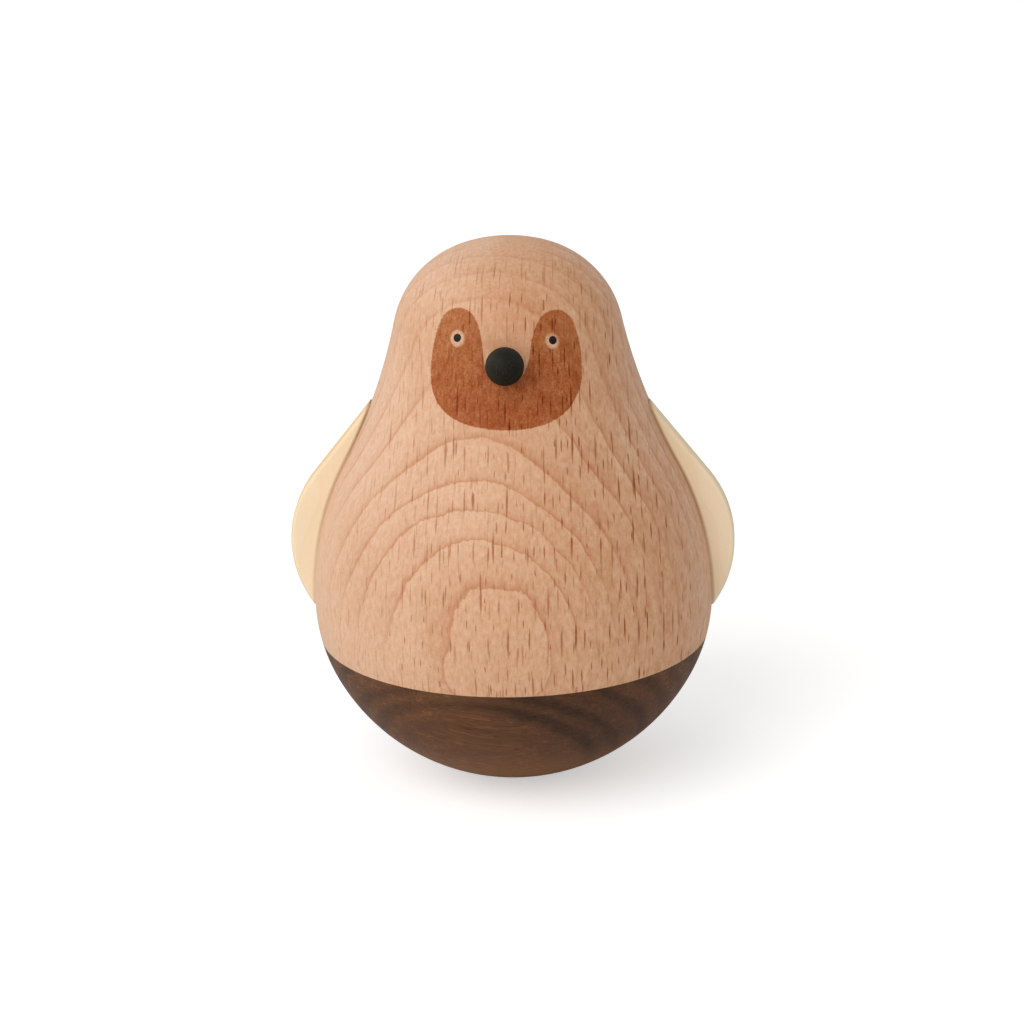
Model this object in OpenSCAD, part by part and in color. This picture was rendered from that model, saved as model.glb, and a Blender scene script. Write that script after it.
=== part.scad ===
// Turned wooden bird that rocks on a weighted round base.
// Millimetres, +Z up. The origin is the middle of the small flat that it rests on.
// The face looks along -Y, and left and right are as seen from the front.

/* [Turned shape] */
// Height from the resting flat to the crown
toy_h = 82.5; // [76:0.5:90]
// Largest diameter of the belly
belly_d = 60; // [56:0.5:66]
// Radius of the crown of the head
crown_r = 22.2; // [20:0.1:26]
// Angle of the crown on each side of the axis
crown_angle = 19; // [14:1:26]
// Radius of the side of the head
head_r = 14.8; // [13:0.1:16.5]
// Radius of the hollow between head and belly
waist_r = 84; // [60:1:120]
// Radius of the flank above the widest place
flank_r = 46; // [40:0.5:54]
// Height of the glue line between the pale and the dark wood
seam_h = 21.8; // [20.5:0.1:23]

/* [Rocking base] */
// How much the rocking radius exceeds half the belly
rocker_extra = 0.7; // [0.4:0.1:1.2]
// Angle below level at which the rocking surface starts
rocker_angle = 27; // [22:1:34]
// Diameter of the flat that it rests on
rest_d = 8; // [6:0.5:10]
// Wood left under the weight
floor_t = 8; // [7:0.5:9]
// Diameter of the spigot that joins the body to the base
spigot_d = 40; // [36:0.5:44]

/* [Weight] */
// Diameter of the steel weight
slug_d = 32; // [26:0.5:34]
// Height of the steel weight
slug_h = 10; // [8:0.5:11.5]
// Chamfer on the edges of the weight
slug_chamfer = 0.5; // [0.2:0.1:1]
// Diameter of the screw that holds the weight
screw_d = 3.5; // [3:0.1:4.5]
// Diameter of the countersunk screw head
screw_head_d = 7; // [6:0.1:9]
// Depth of the screw in the wood under the weight
screw_bite = 5; // [3:0.5:5.5]
// Length of the screw's point
screw_point = 2; // [1:0.1:2.5]
// Width of the arms of the cross recess
recess_w = 1; // [0.6:0.1:1.2]
// Depth of the cross recess
recess_depth = 1.4; // [0.8:0.1:1.6]

/* [Wings] */
// Thickness of a wing
wing_t = 3; // [2:0.1:4]
// How far a wing stands out past the belly
wing_reach = 3.4; // [2.6:0.1:4.6]
// Radius of the rounded side of a wing
wing_r = 17.2; // [16:0.1:19]
// Height of the middle of that rounding
wing_mid_h = 36; // [35:0.1:37]
// Height of the upper tip of a wing
wing_top_h = 57.8; // [56:0.1:60]
// Height of the lower tip of a wing
wing_foot_h = 26; // [25.6:0.1:28]
// How far the upper tip stands proud of the body
wing_proud = 0.2; // [0.1:0.05:0.5]
// Rounding of the long edges of a wing
wing_edge_r = 0.6; // [0.2:0.1:0.9]
// Depth of the tongue let into the side of the body
tongue_l = 5; // [3:0.5:7]

/* [Face] */
// Turn of the face to the right of square with the wings
face_turn = 1.8; // [-4:0.1:4]
// Tilt of the eye line, right eye down
face_tilt = 2; // [-4:0.1:4]
// Diameter of the nose ball
nose_d = 5.6; // [4.6:0.1:7]
// How far the nose sits below the crown
nose_drop = 14.2; // [12.5:0.1:16]
// Depth of the hollow that the nose ball sits in
nose_seat = 0.6; // [0.3:0.1:1]
// Diameter of the peg behind the nose
peg_d = 2; // [1.5:0.1:2.5]
// Length of the peg inside the nose ball
peg_in_nose = 3; // [2:0.1:3.4]
// Length of the peg inside the head
peg_in_head = 6; // [4:0.5:9]
// How far the eyes sit below the crown
eye_drop = 10.85; // [9.5:0.05:12.5]
// Distance of each eye from the middle of the face
eye_offset = 6.9; // [5.5:0.1:8]
// Diameter of a pupil pin
pupil_d = 1.2; // [0.8:0.1:2]
// Length of a pupil pin inside the head
pupil_l = 5; // [3:0.5:8]
// How far the rounded end of a pupil pin stands proud
pupil_proud = 0.15; // [0.1:0.05:0.3]

/* [Fits] */
// Room for glue on each side of a joint
glue_gap = 0.05; // [0.03:0.01:0.15]
// Room above and around the weight
weight_gap = 0.3; // [0.2:0.05:0.6]
// Chamfer on the ends of the peg and the spigot
end_chamfer = 0.3; // [0.1:0.05:0.5]

/* [Hidden] */
$fn = 96;

// Length of one straight step along a turned arc
step_l = 1.5;
// Reach of cuts past the surface that they open
cut_over = 8;
// Half the height over which the slope of the surface is measured
slope_step = 0.01;

function heading(a) = [cos(a), sin(a)];
function angle_of(v) = atan2(v[1], v[0]);
function steps_of(r, a0, a1) = max(2, ceil(abs(a1 - a0) * PI / 180 * r / step_l));

// Points of an arc after its first one
function arc_points(c, r, a0, a1, n) = [for (i = [1:n]) c + r * heading(a0 + (a1 - a0) * i / n)];
function turned_arc(c, r, a0, a1) = arc_points(c, r, a0, a1, steps_of(r, a0, a1));

// Point right of the line from a to b that lies at distance ra from a and rb from b
function right_of(a, ra, b, rb) =
    let (d = norm(b - a), u = (b - a) / d, along = (ra * ra - rb * rb + d * d) / (2 * d))
    a + along * u + sqrt(ra * ra - along * along) * [-u[1], u[0]];

// Centres of the six arcs of the turned outline, each touching the next
rocker_r = belly_d / 2 + rocker_extra;
rest_angle = -acos(rest_d / 2 / rocker_r);
rocker_c = [0, -rocker_r * sin(rest_angle)];
belly_r = (belly_d / 2 - rocker_r * cos(rocker_angle)) / (1 - cos(rocker_angle));
belly_c = rocker_c + (rocker_r - belly_r) * heading(-rocker_angle);
flank_c = belly_c - [flank_r - belly_r, 0];
crown_c = [0, toy_h - crown_r];
head_start = 90 - crown_angle;
head_c = crown_c + (crown_r - head_r) * heading(head_start);
waist_c = right_of(head_c, head_r + waist_r, flank_c, flank_r + waist_r);
head_end = angle_of(waist_c - head_c);
flank_start = angle_of(waist_c - flank_c);

// Heights at which one arc hands over to the next
crown_z = crown_c[1] + crown_r * sin(head_start);
head_z = head_c[1] + head_r * sin(head_end);
waist_z = flank_c[1] + flank_r * sin(flank_start);
rocker_z = rocker_c[1] - rocker_r * sin(rocker_angle);

// Half width of a circle at a height
function half_width(c, r, z) = sqrt(r * r - (z - c[1]) * (z - c[1]));

// Radius of the turned outline at a height, and how far its surface leans upward there
function body_r(z) =
    z > crown_z ? half_width(crown_c, crown_r, z) :
    z > head_z ? head_c[0] + half_width(head_c, head_r, z) :
    z > waist_z ? waist_c[0] - half_width(waist_c, waist_r, z) :
    z > belly_c[1] ? flank_c[0] + half_width(flank_c, flank_r, z) :
    z > rocker_z ? belly_c[0] + half_width(belly_c, belly_r, z) :
    half_width(rocker_c, rocker_r, z);
function body_lean(z) = atan2(body_r(z - slope_step) - body_r(z + slope_step), 2 * slope_step);

// Heights inside the base
slug_top = floor_t + slug_h;
spigot_z = slug_top + weight_gap;
pocket_r = slug_d / 2 + weight_gap;
screw_tip = floor_t - screw_bite;

// Wing outline: a rounding about wing_c, and a straight edge from it up to the tip
wing_c = [belly_d / 2 + wing_reach - wing_r, wing_mid_h];
wing_tip = [body_r(wing_top_h) + wing_proud, wing_top_h];
wing_foot = [wing_c[0] + half_width(wing_c, wing_r, wing_foot_h), wing_foot_h];
edge_angle = angle_of(wing_tip - wing_c) - acos(wing_r / norm(wing_tip - wing_c));
edge_l = norm(wing_tip - wing_c - wing_r * heading(edge_angle));

// Root line from tip to foot, along which the tongue is let in
root_l = norm(wing_foot - wing_tip);
root_angle = angle_of(wing_foot - wing_tip);

// Face
nose_z = toy_h - nose_drop;
eye_z = toy_h - eye_drop;
nose_lift = nose_d / 2 - nose_seat;
pupil_dome_r = (pupil_d * pupil_d / 4 + pupil_proud * pupil_proud) / (2 * pupil_proud);

// Half of the turned outline, from the crown down to the resting flat
module turned_outline() {
    polygon(concat(
        [[0, 0], [0, toy_h]],
        turned_arc(crown_c, crown_r, 90, head_start),
        turned_arc(head_c, head_r, head_start, head_end),
        turned_arc(waist_c, waist_r, head_end + 180, flank_start + 180),
        turned_arc(flank_c, flank_r, flank_start, 0),
        turned_arc(belly_c, belly_r, 0, -rocker_angle),
        turned_arc(rocker_c, rocker_r, -rocker_angle, rest_angle)
    ));
}

// Half of a straight pin from z0 to z1 with chamfered ends
module pin_outline(d, z0, z1) {
    polygon([
        [0, z0], [d / 2 - end_chamfer, z0], [d / 2, z0 + end_chamfer],
        [d / 2, z1 - end_chamfer], [d / 2 - end_chamfer, z1], [0, z1]
    ]);
}

// Sets its children on the surface of the face, with +Z along the outward normal
module on_face(x, z) {
    tilted_x = x * cos(face_tilt);
    tilted_z = z - x * sin(face_tilt);
    turn = face_turn + asin(tilted_x / body_r(tilted_z));
    rotate([0, 0, turn])
        translate([0, -body_r(tilted_z), tilted_z])
            rotate([90 - body_lean(tilted_z), 0, 0])
                children();
}

// Sets its children, drawn flat in X and Y, upright in the plane of the wings
module in_wing_plane() {
    rotate([90, 0, 0])
        children();
}

// Straight block along the root line, with room added at its ends and sides
module root_block(room) {
    in_wing_plane()
        translate([wing_tip[0], wing_tip[1], 0])
            rotate([0, 0, root_angle])
                translate([-room, -tongue_l, -wing_t / 2 - room])
                    cube([root_l + 2 * room, tongue_l + cut_over, wing_t + 2 * room]);
}

// Section of a wing from its middle out to its rounded edge
module wing_section() {
    corner_c = [wing_r - wing_edge_r, wing_t / 2 - wing_edge_r];
    corner_n = 4;
    upper = concat([[corner_c[0] + wing_edge_r, corner_c[1]]],
                   arc_points(corner_c, wing_edge_r, 0, 90, corner_n));
    lower = [for (i = [len(upper) - 1:-1:0]) [upper[i][0], -upper[i][1]]];
    polygon(concat([[0, -wing_t / 2]], lower, upper, [[0, wing_t / 2]]));
}

// The section swept down round the rounding and up along the straight edge, then cut to the tongue
module wing() {
    round_sweep = 150;
    intersection() {
        in_wing_plane()
            translate([wing_c[0], wing_c[1], 0])
                rotate([0, 0, edge_angle])
                    union() {
                        mirror([0, 1, 0])
                            rotate_extrude(angle = round_sweep)
                                wing_section();
                        rotate([90, 0, 0])
                            translate([0, 0, -edge_l - tongue_l])
                                linear_extrude(edge_l + tongue_l)
                                    wing_section();
                    }
        root_block(0);
    }
}

// Pale upper body with the spigot that enters the base
module body() {
    color("burlywood")
        difference() {
            union() {
                rotate_extrude()
                    intersection() {
                        turned_outline();
                        translate([0, seam_h])
                            square([belly_d, toy_h]);
                    }
                rotate_extrude()
                    pin_outline(spigot_d - 2 * glue_gap, spigot_z, seam_h + 2 * end_chamfer);
            }
            for (side = [0, 1])
                mirror([side, 0, 0])
                    root_block(glue_gap);
            on_face(0, nose_z) {
                translate([0, 0, nose_lift])
                    sphere(d = nose_d + 2 * glue_gap);
                translate([0, 0, nose_lift - nose_d / 2 - peg_in_head])
                    cylinder(d = peg_d + 2 * glue_gap, h = peg_in_head + nose_d / 2);
            }
            for (x = [-eye_offset, eye_offset])
                on_face(x, eye_z)
                    translate([0, 0, -pupil_l])
                        cylinder(d = pupil_d + 2 * glue_gap, h = pupil_l + cut_over);
        }
}

// Dark rocking base, hollowed from above for the spigot and the weight
module base() {
    color("saddlebrown")
        rotate_extrude()
            difference() {
                intersection() {
                    turned_outline();
                    square([belly_d, seam_h]);
                }
                translate([0, slug_top])
                    square([spigot_d / 2, toy_h]);
                translate([0, floor_t])
                    square([pocket_r, toy_h]);
                polygon([
                    [0, screw_tip], [screw_d / 2, screw_tip + screw_point],
                    [screw_d / 2, toy_h], [0, toy_h]
                ]);
            }
}

module right_wing() {
    color("wheat")
        wing();
}

module left_wing() {
    color("wheat")
        mirror([1, 0, 0])
            wing();
}

// Black ball with a blind hole for its peg
module nose_bead() {
    color("black")
        on_face(0, nose_z)
            translate([0, 0, nose_lift])
                difference() {
                    sphere(d = nose_d);
                    translate([0, 0, -nose_d])
                        cylinder(d = peg_d + 2 * glue_gap, h = nose_d / 2 + peg_in_nose);
                }
}

// Dowel from the bottom of its hole in the head to the end of the hole in the ball
module nose_peg() {
    color("tan")
        on_face(0, nose_z)
            translate([0, 0, nose_lift - nose_d / 2])
                rotate_extrude()
                    pin_outline(peg_d, -peg_in_head, peg_in_nose);
}

// Black pin with a slightly domed end
module pupil(x) {
    dome_c = [0, pupil_proud - pupil_dome_r];
    dome_n = 4;
    color("black")
        on_face(x, eye_z)
            rotate_extrude()
                polygon(concat(
                    [[0, -pupil_l], [pupil_d / 2, -pupil_l], [pupil_d / 2, 0]],
                    arc_points(dome_c, pupil_dome_r, acos(pupil_d / 2 / pupil_dome_r), 90, dome_n)
                ));
}

module left_pupil() {
    pupil(-eye_offset);
}

module right_pupil() {
    pupil(eye_offset);
}

// Steel disc with a countersunk hole
module ballast_slug() {
    slug_r = slug_d / 2;
    hole_r = screw_d / 2 + weight_gap;
    head_rim = screw_head_d / 2;
    color("silver")
        rotate_extrude()
            polygon([
                [hole_r, floor_t], [slug_r - slug_chamfer, floor_t], [slug_r, floor_t + slug_chamfer],
                [slug_r, slug_top - slug_chamfer], [slug_r - slug_chamfer, slug_top],
                [head_rim, slug_top], [hole_r, slug_top - head_rim + hole_r]
            ]);
}

// Countersunk wood screw, its head flush with the weight
module ballast_screw() {
    shank_r = screw_d / 2;
    head_rim = screw_head_d / 2;
    color("goldenrod")
        difference() {
            rotate_extrude()
                polygon([
                    [0, screw_tip], [shank_r, screw_tip + screw_point],
                    [shank_r, slug_top - head_rim + shank_r], [head_rim, slug_top], [0, slug_top]
                ]);
            for (turn = [0, 90])
                rotate([0, 0, turn])
                    translate([-screw_d / 2, -recess_w / 2, slug_top - recess_depth])
                        cube([screw_d, recess_w, recess_depth + cut_over]);
        }
}

body();
base();
left_wing();
right_wing();
nose_bead();
nose_peg();
left_pupil();
right_pupil();
ballast_slug();
ballast_screw();
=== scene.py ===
import math

import bpy
import numpy as np
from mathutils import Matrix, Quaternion, Vector


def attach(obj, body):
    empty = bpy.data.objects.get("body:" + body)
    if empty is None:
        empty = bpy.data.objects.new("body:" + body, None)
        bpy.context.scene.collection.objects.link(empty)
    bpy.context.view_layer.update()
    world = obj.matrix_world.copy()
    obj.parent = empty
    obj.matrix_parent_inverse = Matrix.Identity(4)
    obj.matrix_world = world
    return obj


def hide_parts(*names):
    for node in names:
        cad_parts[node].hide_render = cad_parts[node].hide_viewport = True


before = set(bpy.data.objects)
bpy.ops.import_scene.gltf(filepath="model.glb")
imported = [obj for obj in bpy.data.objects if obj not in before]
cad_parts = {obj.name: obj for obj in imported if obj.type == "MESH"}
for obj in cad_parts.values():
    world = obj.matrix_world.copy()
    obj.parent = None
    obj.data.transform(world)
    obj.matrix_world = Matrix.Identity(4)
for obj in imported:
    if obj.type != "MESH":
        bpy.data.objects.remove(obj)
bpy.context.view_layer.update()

scene = bpy.context.scene
scene.view_settings.view_transform = "Standard"
mm = 0.001  # shapes and patterns are worked out in millimetres
print("frame loaded:", ", ".join(sorted(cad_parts)))


# Camera: a long lens a little above the figurine, just off square with the wings
shot = dict(
    aim=(0.0, 0.0, 0.0403),
    distance=0.6,
    rise=18.458,  # degrees above level
    swing=3.6,  # degrees towards +X
    roll=-1.222,  # the figurine leans a touch to the left in the picture
    lens=140.3,
    sensor=36.0,
)


def placeCamera(name, look):
    rise, swing = math.radians(look["rise"]), math.radians(look["swing"])
    back = Vector((math.cos(rise) * math.sin(swing), -math.cos(rise) * math.cos(swing), math.sin(rise)))
    roll = Quaternion((0, 0, 1), math.radians(look["roll"]))
    data = bpy.data.cameras.new(name)
    data.lens = look["lens"]
    data.sensor_width = look["sensor"]
    camera = bpy.data.objects.new(name, data)
    camera.location = Vector(look["aim"]) + back * look["distance"]
    camera.rotation_mode = "QUATERNION"
    camera.rotation_quaternion = (-back).to_track_quat("-Z", "Y") @ roll
    scene.collection.objects.link(camera)
    scene.camera = camera


placeCamera("frontCamera", shot)
print("camera placed")


# Sizes of the turned figure, the same as in the CAD source
turned = dict(
    height=82.5,
    bellyWide=60.0,
    crownRadius=22.2,
    crownAngle=19.0,
    headRadius=14.8,
    waistRadius=84.0,
    flankRadius=46.0,
    seamHeight=21.8,
    rockerExtra=0.7,
    rockerAngle=27.0,
    restWide=8.0,
    spigotRadius=19.95,
    spigotFoot=18.3,
    spigotChamfer=0.3,
    socketRadius=20.0,
    socketFloor=18.0,
    pocketRadius=16.3,
    pocketFloor=8.0,
    pilotRadius=1.75,
    pilotTaper=5.0,
    pilotTip=3.0,
    # steps along the outline, to read radii and in the meshes, and columns round the meshes
    readStep=0.2,
    bodyStep=0.42,
    bodyColumns=400,
    baseStep=0.5,
    baseColumns=320,
)
bodyArcs = ("crown", "head", "waist", "flank", "aboveSeam")
baseArcs = ("belowSeam", "rocker")


def heading(degrees):
    return np.array([math.cos(math.radians(degrees)), math.sin(math.radians(degrees))])


def angleOf(v):
    return math.degrees(math.atan2(v[1], v[0]))


# Six arcs, each touching the next, with the belly's cut at the seam: centre, radius, first and last angle
def turnedArcs(size):
    rockerRadius = size["bellyWide"] / 2 + size["rockerExtra"]
    restAngle = -math.degrees(math.acos(size["restWide"] / 2 / rockerRadius))
    rockerMid = np.array([0, -rockerRadius * math.sin(math.radians(restAngle))])
    bellyCos = math.cos(math.radians(size["rockerAngle"]))
    bellyRadius = (size["bellyWide"] / 2 - rockerRadius * bellyCos) / (1 - bellyCos)
    bellyMid = rockerMid + (rockerRadius - bellyRadius) * heading(-size["rockerAngle"])
    flankMid = bellyMid - np.array([size["flankRadius"] - bellyRadius, 0])
    crownMid = np.array([0, size["height"] - size["crownRadius"]])
    headStart = 90 - size["crownAngle"]
    headMid = crownMid + (size["crownRadius"] - size["headRadius"]) * heading(headStart)
    reachHead = size["headRadius"] + size["waistRadius"]
    reachFlank = size["flankRadius"] + size["waistRadius"]
    gap = flankMid - headMid
    span = np.hypot(*gap)
    along = (reachHead ** 2 - reachFlank ** 2 + span ** 2) / (2 * span)
    aside = math.sqrt(reachHead ** 2 - along ** 2)
    waistMid = headMid + (along * gap + aside * np.array([-gap[1], gap[0]])) / span
    headEnd = angleOf(waistMid - headMid)
    flankStart = angleOf(waistMid - flankMid)
    seamAngle = math.degrees(math.asin((size["seamHeight"] - bellyMid[1]) / bellyRadius))
    return dict(
        crown=(crownMid, size["crownRadius"], 90, headStart),
        head=(headMid, size["headRadius"], headStart, headEnd),
        waist=(waistMid, size["waistRadius"], headEnd + 180, flankStart + 180),
        flank=(flankMid, size["flankRadius"], flankStart, 0),
        aboveSeam=(bellyMid, bellyRadius, 0, seamAngle),
        belowSeam=(bellyMid, bellyRadius, seamAngle, -size["rockerAngle"]),
        rocker=(rockerMid, rockerRadius, -size["rockerAngle"], restAngle),
    )


# Points along an arc: centre plus radius times the heading, evenly by angle
def arcPoints(arc, step):
    mid, radius, first, last = arc
    count = max(3, math.ceil(abs(math.radians(last - first)) * radius / step) + 1)
    angle = np.radians(np.linspace(first, last, count))
    return mid + radius * np.stack([np.cos(angle), np.sin(angle)], axis=1)


# Stretches one after the other, without the points that they share
def joined(*stretches):
    line = np.concatenate([np.asarray(s, float).reshape(-1, 2) for s in stretches])
    fresh = np.r_[True, np.hypot(*np.diff(line, axis=0).T) > 1e-6]
    return line[fresh]


arcs = turnedArcs(turned)


def turnedOutline(names, step):
    return joined(*[arcPoints(arcs[name], step) for name in names])


outer = turnedOutline(bodyArcs + baseArcs, turned["readStep"])


# Radius of the turned outline at a height
def radiusAt(z):
    return np.interp(z, outer[::-1, 1], outer[::-1, 0])


def newPiece(name, points, faces, smoothAngle=35):
    mesh = bpy.data.meshes.new(name)
    mesh.from_pydata((points * mm).tolist(), [], faces)
    mesh.polygons.foreach_set("use_smooth", np.ones(len(mesh.polygons), bool))
    mesh.set_sharp_from_angle(angle=math.radians(smoothAngle))
    mesh.update()
    piece = bpy.data.objects.new(name, mesh)
    scene.collection.objects.link(piece)
    return piece


def giveAttribute(piece, name, values):
    layer = piece.data.attributes.new(name, "FLOAT", "POINT")
    layer.data.foreach_set("value", np.asarray(values, np.float32))


# Faces of a grid of rows that close on themselves, with a point at each end
def ringFaces(rows, columns):
    row = 1 + columns * np.arange(rows - 1)[:, None]
    column = np.arange(columns)[None, :]
    after = (column + 1) % columns
    quads = np.stack([row + column, row + columns + column, row + columns + after, row + after], axis=-1)
    last = 1 + rows * columns
    start = 1 + (rows - 1) * columns
    top = np.stack([np.zeros(columns, int), 1 + column[0], 1 + after[0]], axis=-1)
    foot = np.stack([np.full(columns, last), start + after[0], start + column[0]], axis=-1)
    return top.tolist() + quads.reshape(-1, 4).tolist() + foot.tolist()


# A profile (radius, height) that starts and ends on the axis, turned about Z:
# x = radius cos(turn), y = radius sin(turn), z = height
def turnedPiece(name, profile, columns, place=None):
    turn = np.linspace(0, 2 * np.pi, columns, endpoint=False)[None, :]
    radius, height = profile[1:-1, 0][:, None], profile[1:-1, 1][:, None]
    grid = np.stack([radius * np.cos(turn), radius * np.sin(turn), height + 0 * turn], axis=-1)
    top, foot = [[0, 0, profile[0, 1]]], [[0, 0, profile[-1, 1]]]
    points = np.concatenate([top, grid.reshape(-1, 3), foot])
    if place is not None:
        origin, axes = place
        points = points @ axes + origin
    return newPiece(name, points, ringFaces(len(profile) - 2, columns)), points


# Face: where things sit on it, in millimetres
face = dict(
    turn=1.8,  # to the right of square with the wings
    tilt=2.0,  # right side down
    noseHeight=68.3,
    eyeHeight=71.65,
    eyeOffset=6.9,
    slopeStep=0.1,  # the slope is read this far above and below
)


# Place on the face, as its origin and the rows side, up and outward normal
def onFace(x, z):
    cos, sin = heading(face["tilt"])
    x, z = x * cos, z - x * sin
    radius = float(radiusAt(z))
    turn = math.radians(face["turn"]) + math.asin(x / radius)
    step = face["slopeStep"]
    slope = float(radiusAt(z - step) - radiusAt(z + step)) / (2 * step)
    flat = np.array([math.sin(turn), -math.cos(turn), 0])
    normal = np.array([flat[0], flat[1], slope]) / math.hypot(1, slope)
    side = np.array([math.cos(turn), math.sin(turn), 0])
    origin = np.array([radius * flat[0], radius * flat[1], z])
    return origin, np.array([side, np.cross(normal, side), normal])


# Shader maths. A Value wraps a socket, and each operator on it adds one Math node.
class Value:
    def __init__(self, finish, socket):
        self.finish = finish
        self.socket = socket

    def math(self, operation, *others):
        inputs = dict(enumerate((self,) + others))
        return self.finish.add("ShaderNodeMath", {"operation": operation}, inputs)

    def __add__(self, other):
        return self.math("ADD", other)

    def __sub__(self, other):
        return self.math("SUBTRACT", other)

    def __rsub__(self, other):
        return self.finish.add("ShaderNodeMath", {"operation": "SUBTRACT"}, {0: other, 1: self})

    def __mul__(self, other):
        return self.math("MULTIPLY", other)

    def __truediv__(self, other):
        return self.math("DIVIDE", other)

    def __rtruediv__(self, other):
        return self.finish.add("ShaderNodeMath", {"operation": "DIVIDE"}, {0: other, 1: self})

    def __pow__(self, other):
        return self.math("POWER", other)

    def __abs__(self):
        return self.math("ABSOLUTE")

    __radd__ = __add__
    __rmul__ = __mul__

    # 0 up to low, 1 from high on, straight between; high may be the smaller one
    def ramp(self, low, high, kind="LINEAR"):
        inputs = {"Value": self, "From Min": low, "From Max": high}
        return self.finish.add("ShaderNodeMapRange", {"interpolation_type": kind}, inputs)

    # the same with a soft start and end
    def eased(self, low, high):
        return self.ramp(low, high, "SMOOTHSTEP")


# Nodes of one material, or of the world
class Finish:
    def __init__(self, name, world=False):
        self.owner = bpy.data.worlds.new(name) if world else bpy.data.materials.new(name)
        self.owner.use_nodes = True
        self.tree = self.owner.node_tree
        self.tree.nodes.clear()
        self.output = self.tree.nodes.new("ShaderNodeOutputWorld" if world else "ShaderNodeOutputMaterial")

    # One node: its type, then its settings, then the values or links of its sockets
    def add(self, kind, settings=None, inputs=None, out=0):
        node = self.tree.nodes.new(kind)
        for key, value in (settings or {}).items():
            setattr(node, key, value)
        for key, value in (inputs or {}).items():
            if isinstance(value, Value):
                self.tree.links.new(value.socket, node.inputs[key])
            else:
                node.inputs[key].default_value = value
        return Value(self, node.outputs[out])

    # Object coordinates in millimetres
    def place(self):
        inputs = {0: self.add("ShaderNodeTexCoord", out="Object"), "Scale": 1 / mm}
        self.spot = self.add("ShaderNodeVectorMath", {"operation": "SCALE"}, inputs)
        self.axes = self.split(self.spot)
        return self.axes

    def split(self, vector):
        node = self.add("ShaderNodeSeparateXYZ", inputs={0: vector}).socket.node
        return [Value(self, node.outputs[k]) for k in range(3)]

    def vector(self, x, y, z):
        return self.add("ShaderNodeCombineXYZ", inputs={0: x, 1: y, 2: z})

    def shifted(self, spot, origin):
        return self.add("ShaderNodeVectorMath", {"operation": "SUBTRACT"}, {0: spot, 1: origin})

    def noise(self, spot, pitch, detail=2.0, rough=0.5):
        inputs = {"Vector": spot, "Scale": pitch, "Detail": detail, "Roughness": rough}
        return self.add("ShaderNodeTexNoise", inputs=inputs)

    # noise about nought
    def waver(self, pitch, detail=2.0, rough=0.5):
        return self.noise(self.spot, pitch, detail, rough) - 0.5

    # the same with a pitch for each axis, drawn out where that is small
    def streaks(self, pitch, detail=2.0, rough=0.5, axes=None):
        spot = self.vector(*[axis * rate for axis, rate in zip(axes or self.axes, pitch)])
        return self.noise(spot, 1, detail, rough) - 0.5

    def mix(self, factor, first, second, blend="MIX"):
        settings = {"data_type": "RGBA", "blend_type": blend}
        return self.add("ShaderNodeMix", settings, {0: factor, 6: first, 7: second}, out=2)

    def tinted(self, color, tint, share=1.0):
        return self.mix(share, color, tint, "MULTIPLY")

    # a colour with a pattern worked into it, by its shares in red, green and blue
    def toned(self, color, pattern, shares=(1, 1, 1)):
        return self.tinted(color, self.vector(*[1 + pattern * share for share in shares]))

    def attribute(self, name):
        return self.add("ShaderNodeAttribute", {"attribute_name": name}, out="Fac")

    def bump(self, height, depth, strength):
        inputs = {"Height": height, "Distance": depth * mm, "Strength": strength}
        return self.add("ShaderNodeBump", inputs=inputs)

    def show(self, shader):
        self.tree.links.new(shader.socket, self.output.inputs["Surface"])

    def surface(self, sockets):
        self.show(self.add("ShaderNodeBsdfPrincipled", inputs=sockets))
        return self.owner

    # wood: roughness and relief are sums of its patterns
    def wood(self, color, look, **patterns):
        normal = self.bump(weighed(look["relief"], **patterns), *look["bump"])
        rough = weighed(look["rough"], **patterns)
        return self.surface({"Base Color": color, "Roughness": rough, "Normal": normal,
                             "Specular IOR Level": look["gloss"]})


# Sum of patterns by name, each times its weight; plain is what is there without them
def weighed(weights, **patterns):
    total = weights.get("plain", 0)
    for name, pattern in patterns.items():
        if name in weights:
            total = total + pattern * weights[name]
    return total


# Sum over parts of the figure: rows of an amount and its ramps across and up, or None
def partSum(x, z, parts):
    total = 0
    for amount, acrossRamp, upRamp in parts:
        if acrossRamp:
            amount = amount * x.eased(*acrossRamp)
        if upRamp:
            amount = amount * z.eased(*upRamp)
        total = total + amount
    return total


# Product of the eased ramps of a value
def within(value, ramps):
    return math.prod(value.eased(*ramp) for ramp in ramps)


# 1 in the middle of an oval and less all round it: exp(-across^2 - up^2)
def hill(across, up):
    return (0 - across * across - up * up).math("EXPONENT")


# Screen colour, 0 to 255, as the linear colour that a socket takes
def paint(red, green, blue):
    share = np.array([red, green, blue]) / 255
    linear = np.where(share <= 0.04045, share / 12.92, ((share + 0.055) / 1.055) ** 2.4)
    return (*linear.tolist(), 1.0)


def giveMaterial(piece, material):
    piece.data.materials.clear()
    piece.data.materials.append(material)


def dress(piece, material, node):
    giveMaterial(piece, material)
    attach(piece, "root")
    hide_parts(node)
    print(piece.name + ":", len(piece.data.polygons), "faces")


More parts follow.
